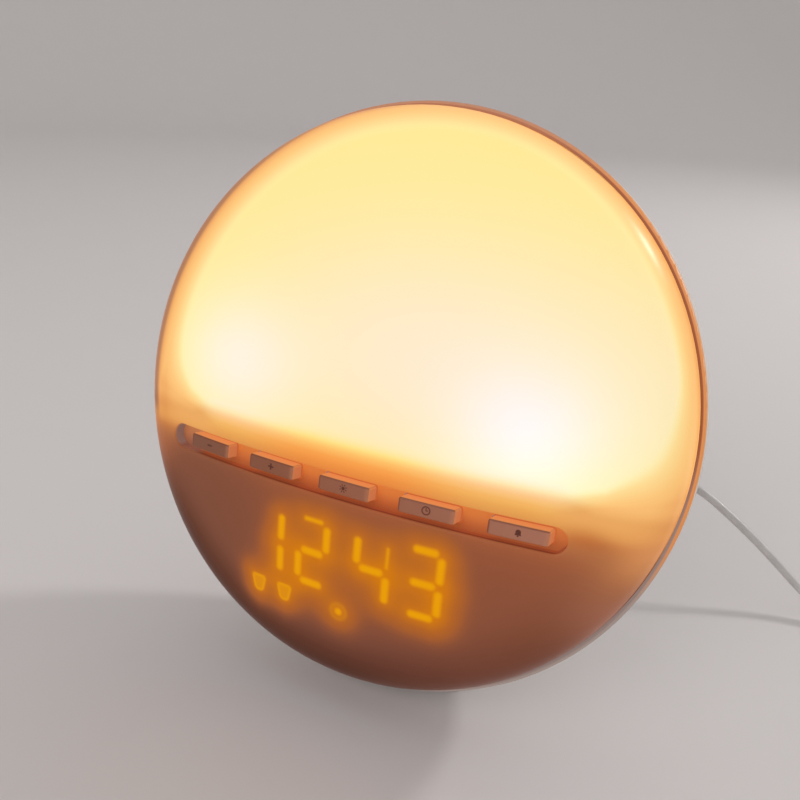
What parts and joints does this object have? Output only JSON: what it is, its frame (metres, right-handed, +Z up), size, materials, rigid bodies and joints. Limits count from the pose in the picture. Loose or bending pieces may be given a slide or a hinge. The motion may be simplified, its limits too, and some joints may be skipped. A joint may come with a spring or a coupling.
{
  "type": "sunrise alarm clock",
  "caption": "Round domed bedside clock that glows through its front cover, with a row of push keys, lit digits, a rear speaker and a thin power cord.",
  "frame": {"origin": "centre of the clock's footprint box on the table, cord left out", "axes": "+X to the clock's right as its front is seen, -Y towards the viewer, +Z up"},
  "size_m": [0.2807, 0.1337, 0.1684],
  "materials": {
    "milky_cover": "translucent milky plastic, satin gloss, lit from inside",
    "white_housing": "fine moulded white plastic",
    "key_plastic": "satin white plastic, lit from inside",
    "switch_black": "moulded switch body",
    "tray_white": "reflector white",
    "board_green": "solder-masked circuit board",
    "display_black": "display housing",
    "display_amber": "lit amber segments",
    "lamp_white": "lit warm lamps",
    "chip_black": "moulded chips",
    "can_metal": "capacitor cans",
    "screw_steel": "zinc-plated screws",
    "speaker_steel": "pressed speaker basket and magnet plate",
    "paper_cone": "treated paper cone",
    "foam_black": "foam and rubber",
    "wire_red": "thin lead insulation",
    "cord_white": "smooth white cord jacket",
    "plug_metal": "nickel-plated plug metal",
    "holder_black": "cell holder",
    "cell_steel": "coin cell",
    "foot_rubber": "soft feet"
  },
  "bodies": {
    "clock": {"front_cover": "milky_cover", "tact_switches": "switch_black", "front_board": "board_green", "display_module": "display_black", "display_segments": "display_amber", "reflector_tray": "tray_white", "light_boards": "board_green", "white_leds": "lamp_white", "colour_leds": "lamp_white", "main_board": "board_green", "main_board_chips": "chip_black", "capacitors": "can_metal", "board_screws": "screw_steel", "display_ribbon": "tray_white", "speaker_frame": "speaker_steel", "speaker_cone": "paper_cone", "speaker_magnet": "speaker_steel", "speaker_gasket": "foam_black", "speaker_screws": "screw_steel", "speaker_leads": "wire_red", "lamp_leads": "wire_red", "cell_holder": "holder_black", "coin_cell": "cell_steel", "cell_contact": "plug_metal", "dc_jack": "switch_black", "plug_barrel": "plug_metal", "plug_body": "cord_white", "strain_relief": "cord_white", "housing_screws": "screw_steel", "rear_housing": "white_housing", "foot_pads": "foot_rubber", "power_cord": "cord_white", "cord_coil": "cord_white", "cord_tie": "foam_black", "usb_plug_body": "cord_white", "usb_plug_shell": "plug_metal", "usb_plug_tongue": "cord_white"},
    "key_minus": {"button_minus": "key_plastic", "switch_plunger_minus": "switch_black"},
    "key_plus": {"button_plus": "key_plastic", "switch_plunger_plus": "switch_black"},
    "key_light": {"button_light": "key_plastic", "switch_plunger_light": "switch_black"},
    "key_time": {"button_time": "key_plastic", "switch_plunger_time": "switch_black"},
    "key_alarm": {"button_alarm": "key_plastic", "switch_plunger_alarm": "switch_black"},
    "cell_door": {"battery_door": "white_housing"}
  },
  "joints": [
    {"name": "minus_press", "type": "slide", "parent": "clock", "child": "key_minus", "axis": [0, 0.9659, -0.2588], "range_m": [0, 0.0005], "stiffness_N_per_m": 400, "springref_m": -0.0006},
    {"name": "plus_press", "type": "slide", "parent": "clock", "child": "key_plus", "axis": [0, 0.9659, -0.2588], "range_m": [0, 0.0005], "stiffness_N_per_m": 400, "springref_m": -0.0006},
    {"name": "light_press", "type": "slide", "parent": "clock", "child": "key_light", "axis": [0, 0.9659, -0.2588], "range_m": [0, 0.0005], "stiffness_N_per_m": 400, "springref_m": -0.0006},
    {"name": "time_press", "type": "slide", "parent": "clock", "child": "key_time", "axis": [0, 0.9659, -0.2588], "range_m": [0, 0.0005], "stiffness_N_per_m": 400, "springref_m": -0.0006},
    {"name": "alarm_press", "type": "slide", "parent": "clock", "child": "key_alarm", "axis": [0, 0.9659, -0.2588], "range_m": [0, 0.0005], "stiffness_N_per_m": 400, "springref_m": -0.0006},
    {"name": "door_pull", "type": "slide", "parent": "clock", "child": "cell_door", "axis": [0, 0.9659, -0.2588], "range_m": [0, 0.012]}
  ]
}
